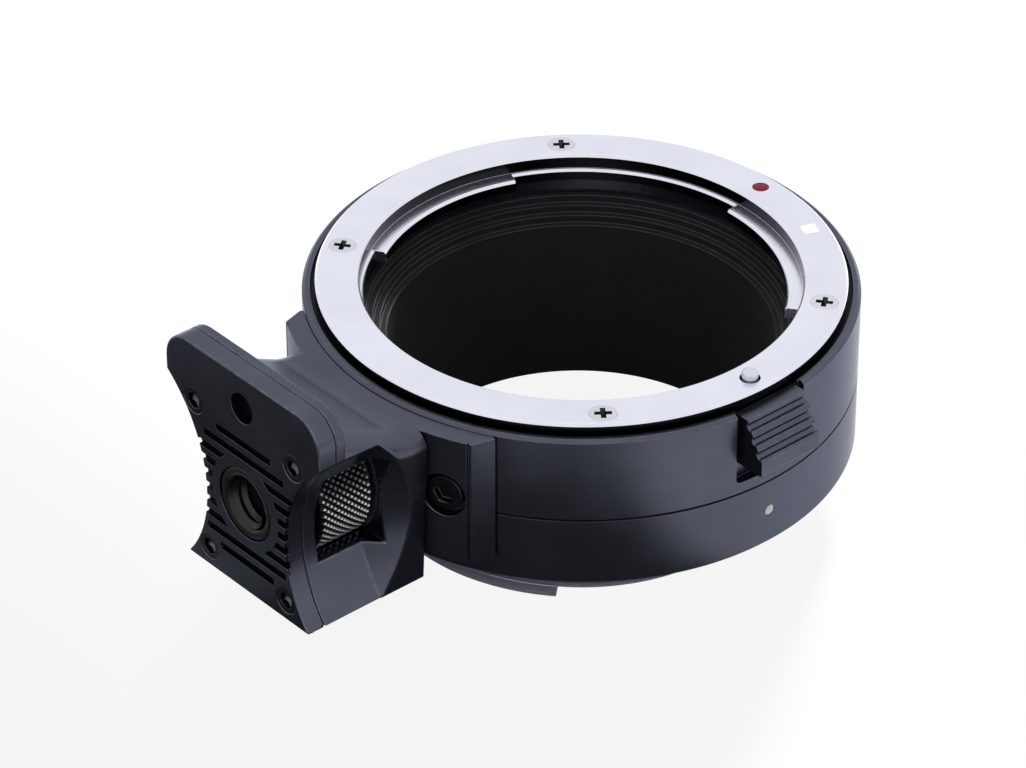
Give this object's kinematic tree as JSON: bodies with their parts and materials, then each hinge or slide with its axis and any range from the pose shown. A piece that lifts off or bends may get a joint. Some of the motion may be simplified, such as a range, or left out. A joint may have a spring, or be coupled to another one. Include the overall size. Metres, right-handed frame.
{
  "type": "lens mount adapter",
  "caption": "Short ring-shaped camera lens mount adapter with a lens bayonet in front, a camera bayonet behind, a lens release slider and a removable tripod foot with a thumbwheel.",
  "frame": {"origin": "on the optical axis, in the plane of the rear flange that seats on the camera", "axes": "+Z along the optical axis towards the lens, +Y to the lens index dot, -Y to the tripod foot, +X to the release slider"},
  "size_m": [0.0712, 0.0866, 0.0383],
  "materials": {
    "black_anodised": "satin black anodised",
    "satin_chrome": "satin chrome plated brass",
    "black_plastic": "matt moulded black",
    "dark_steel": "blackened steel",
    "bright_steel": "plain turned steel",
    "gold_contact": "gold plated",
    "red_enamel": "red enamel filling",
    "white_enamel": "white enamel filling",
    "board_laminate": "solder resist",
    "chip_plastic": "moulded chip packages"
  },
  "bodies": {
    "adapter": {"front_mount_ring": "satin_chrome", "rear_mount_ring": "satin_chrome", "front_mount_screws": "bright_steel", "rear_mount_screws": "bright_steel", "bayonet_springs": "bright_steel", "lens_index_dot": "red_enamel", "lens_index_square": "white_enamel", "camera_index_dot": "white_enamel", "upper_barrel": "black_anodised", "lower_barrel": "black_anodised", "light_baffle": "black_plastic", "lens_contact_block": "black_plastic", "lens_contact_screws": "dark_steel", "camera_contact_block": "black_plastic", "camera_contact_pads": "gold_contact", "camera_contact_screws": "dark_steel", "main_board": "board_laminate", "board_chips": "chip_plastic", "lock_spring": "bright_steel", "foot_seat": "black_anodised", "foot_seat_screws": "dark_steel", "locating_pins": "bright_steel"},
    "slider": {"release_slider": "black_anodised", "release_arm": "bright_steel", "lock_pin": "bright_steel"},
    "contact_pins": {"lens_contact_pins": "gold_contact"},
    "foot": {"foot_body": "black_anodised", "foot_base_plate": "black_anodised", "foot_plate_screws": "dark_steel", "tripod_bushing": "bright_steel", "wheel_retainer": "bright_steel"},
    "wheel": {"thumbwheel": "bright_steel", "thumbwheel_stud": "bright_steel"}
  },
  "joints": [
    {"name": "release_slide", "type": "slide", "parent": "adapter", "child": "slider", "axis": [0, 0, -1], "range_m": [0, 0.002], "stiffness_N_per_m": 800, "deforming": ["lock_spring"]},
    {"name": "contact_press", "type": "slide", "parent": "adapter", "child": "contact_pins", "axis": [0, 0, -1], "range_m": [0, 0.0008], "stiffness_N_per_m": 900},
    {"name": "foot_release", "type": "slide", "parent": "adapter", "child": "foot", "axis": [0, -1, 0], "range_m": [0, 0.0048]},
    {"name": "wheel_turn", "type": "hinge", "parent": "foot", "child": "wheel", "pos_m": [0, -0.0438, 0.0162], "axis": [0, -1, 0], "range_deg": [0, 2160]}
  ],
  "couplings": [
    {"joint": "wheel_turn", "follows": "foot_release", "rad_per_m": 7853.9}
  ]
}
